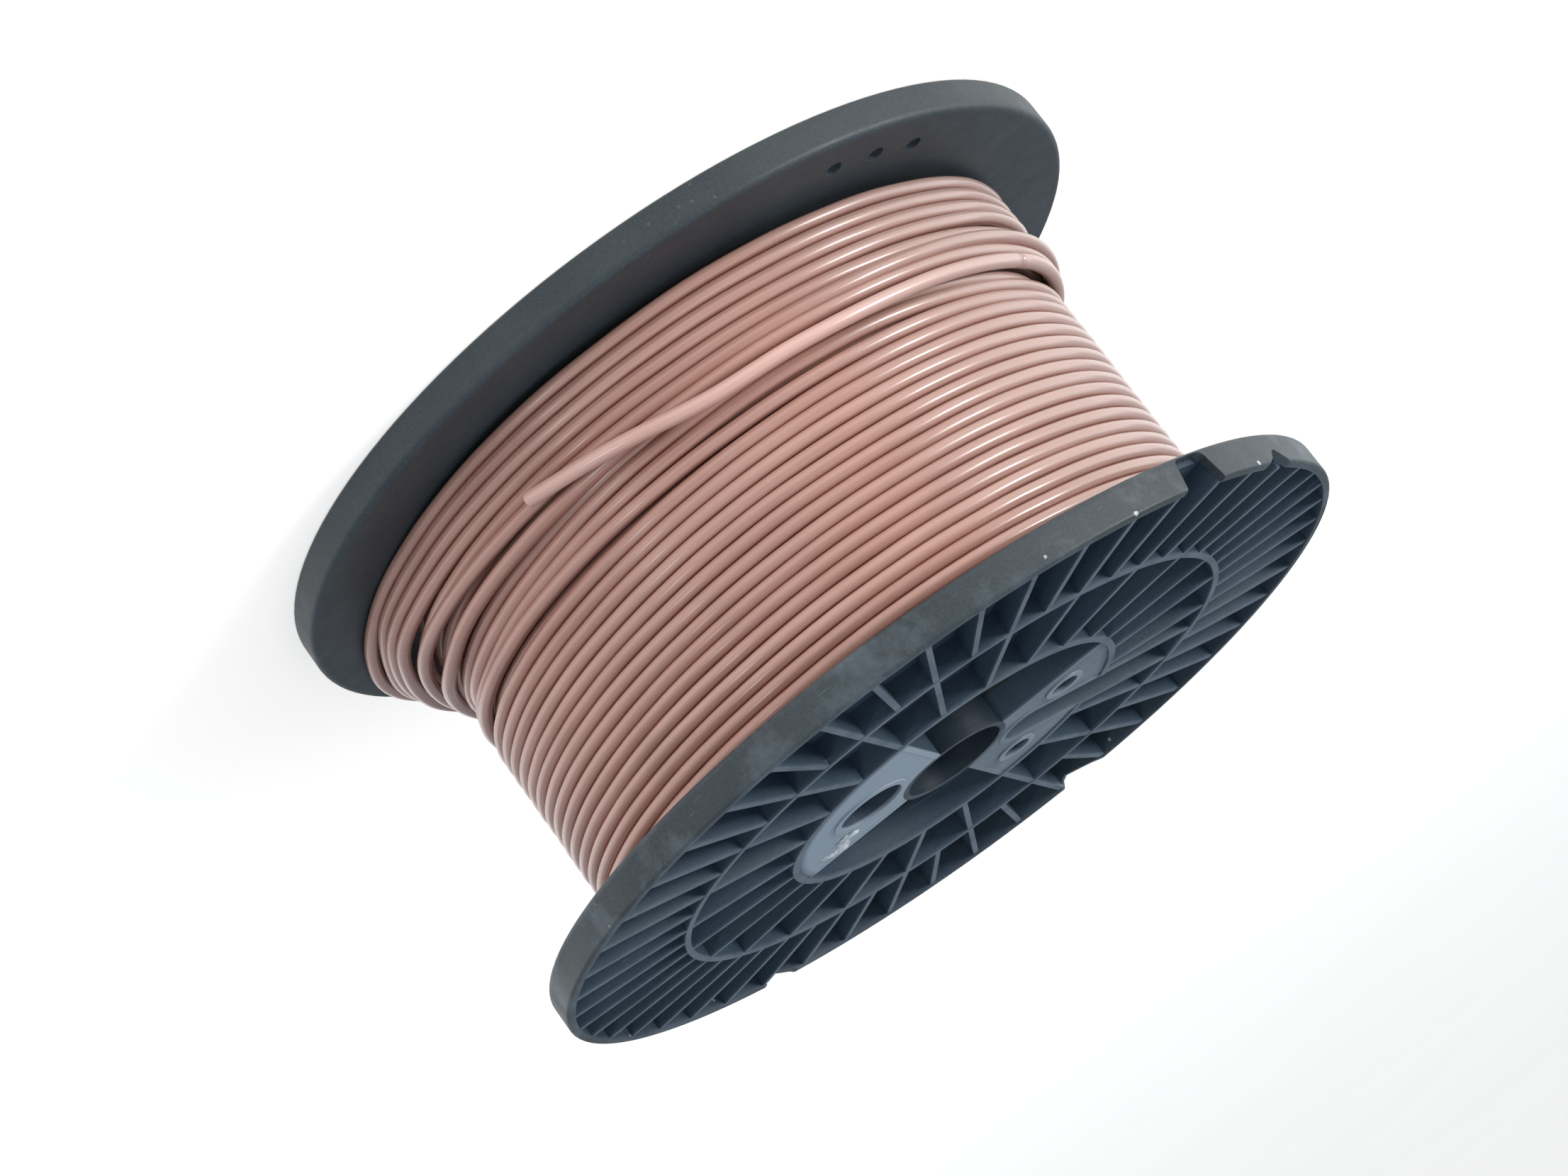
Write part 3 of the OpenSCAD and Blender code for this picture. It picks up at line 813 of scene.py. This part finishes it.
def glue_dab(x, y, long, wide, direction, height):
    """Vertices, in metres, and faces of one lump of glue on the plate."""
    build = bmesh.new()
    bmesh.ops.create_icosphere(build, subdivisions=4, radius=1.0)
    turn = math.radians(direction)
    for v in build.verts:
        p = v.co.copy()
        coarse = noise.noise(Vector((p.x * 1.6 + x, p.y * 1.6 + y, p.z)))
        fine = noise.noise(Vector((p.x * 5 + x, p.y * 5 + y, p.z * 5)))
        lump = 1 + COARSE_LUMPS * coarse + FINE_LUMPS * fine
        a, b = p.x * long * lump, p.y * wide * lump
        v.co = Vector((
            (x + a * math.cos(turn) - b * math.sin(turn)) * MM,
            (y + a * math.sin(turn) + b * math.cos(turn)) * MM,
            (PLATE_Z + max(p.z, DAB_SINK) * height * lump) * MM,
        ))
    points = [tuple(v.co) for v in build.verts]
    faces = [tuple(v.index for v in f.verts) for f in build.faces]
    build.free()
    return points, faces


glue_dabs = []
for (x0, y0, w0, h0), (x1, y1, w1, h1) in zip(GLUE_SMEAR, GLUE_SMEAR[1:]):
    half = math.hypot(x1 - x0, y1 - y0) / 2
    heading = math.degrees(math.atan2(y1 - y0, x1 - x0))
    wide = (w0 + w1) / 2
    long = half + DAB_OVERLAP * wide
    glue_dabs.append(glue_dab((x0 + x1) / 2, (y0 + y1) / 2, long, wide, heading, (h0 + h1) / 2))
glue_points, glue_faces = joined(glue_dabs)
glue = new_object("dried_glue", glue_points, glue_faces, [GLUE])
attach(glue, BODY)

# ---- Floor and light ----

FLOOR_HALF_M = 20.0
floor = new_object(
    "floor",
    [(-FLOOR_HALF_M, -FLOOR_HALF_M, 0), (FLOOR_HALF_M, -FLOOR_HALF_M, 0),
     (FLOOR_HALF_M, FLOOR_HALF_M, 0), (-FLOOR_HALF_M, FLOOR_HALF_M, 0)],
    [(0, 1, 2, 3)], [floor_surface("floor_paper")], smooth=False,
)

world = bpy.data.worlds.new("studio")
world.use_nodes = True
background = world.node_tree.nodes["Background"]
background.inputs["Color"].default_value = rgb(0.84, 0.92, 1.0)
background.inputs["Strength"].default_value = 0.5
scene.world = world
scene.view_settings.view_transform = "Standard"


def soft_light(name, azimuth, elevation, distance, wide, high, power, colour):
    """A rectangle of light, unseen by the camera, that faces the point the camera aims at.
    Its sizes are in metres and its power in watts."""
    data = bpy.data.lights.new(name, "AREA")
    data.shape = "RECTANGLE"
    data.size = wide
    data.size_y = high
    data.energy = power
    data.color = colour
    obj = bpy.data.objects.new(name, data)
    direction = from_angles(azimuth, elevation)
    obj.matrix_world = (
        Matrix.Translation(AIM_M + distance * direction) @ turned_to(-direction, 0).to_4x4()
    )
    obj.visible_camera = False
    scene.collection.objects.link(obj)


soft_light("key", -122, 14, 1.2, 0.3, 0.3, 8.4, (1.0, 0.99, 0.97))
soft_light("wall", -158, 10, 1.3, 1.1, 0.8, 4.6, (1.0, 0.99, 0.98))
soft_light("side", -21, 16, 1.3, 0.14, 0.14, 1.2, (1.0, 0.99, 0.98))
soft_light("overhead", -60, 80, 1.8, 2.4, 2.4, 11.0, (0.72, 0.87, 1.0))
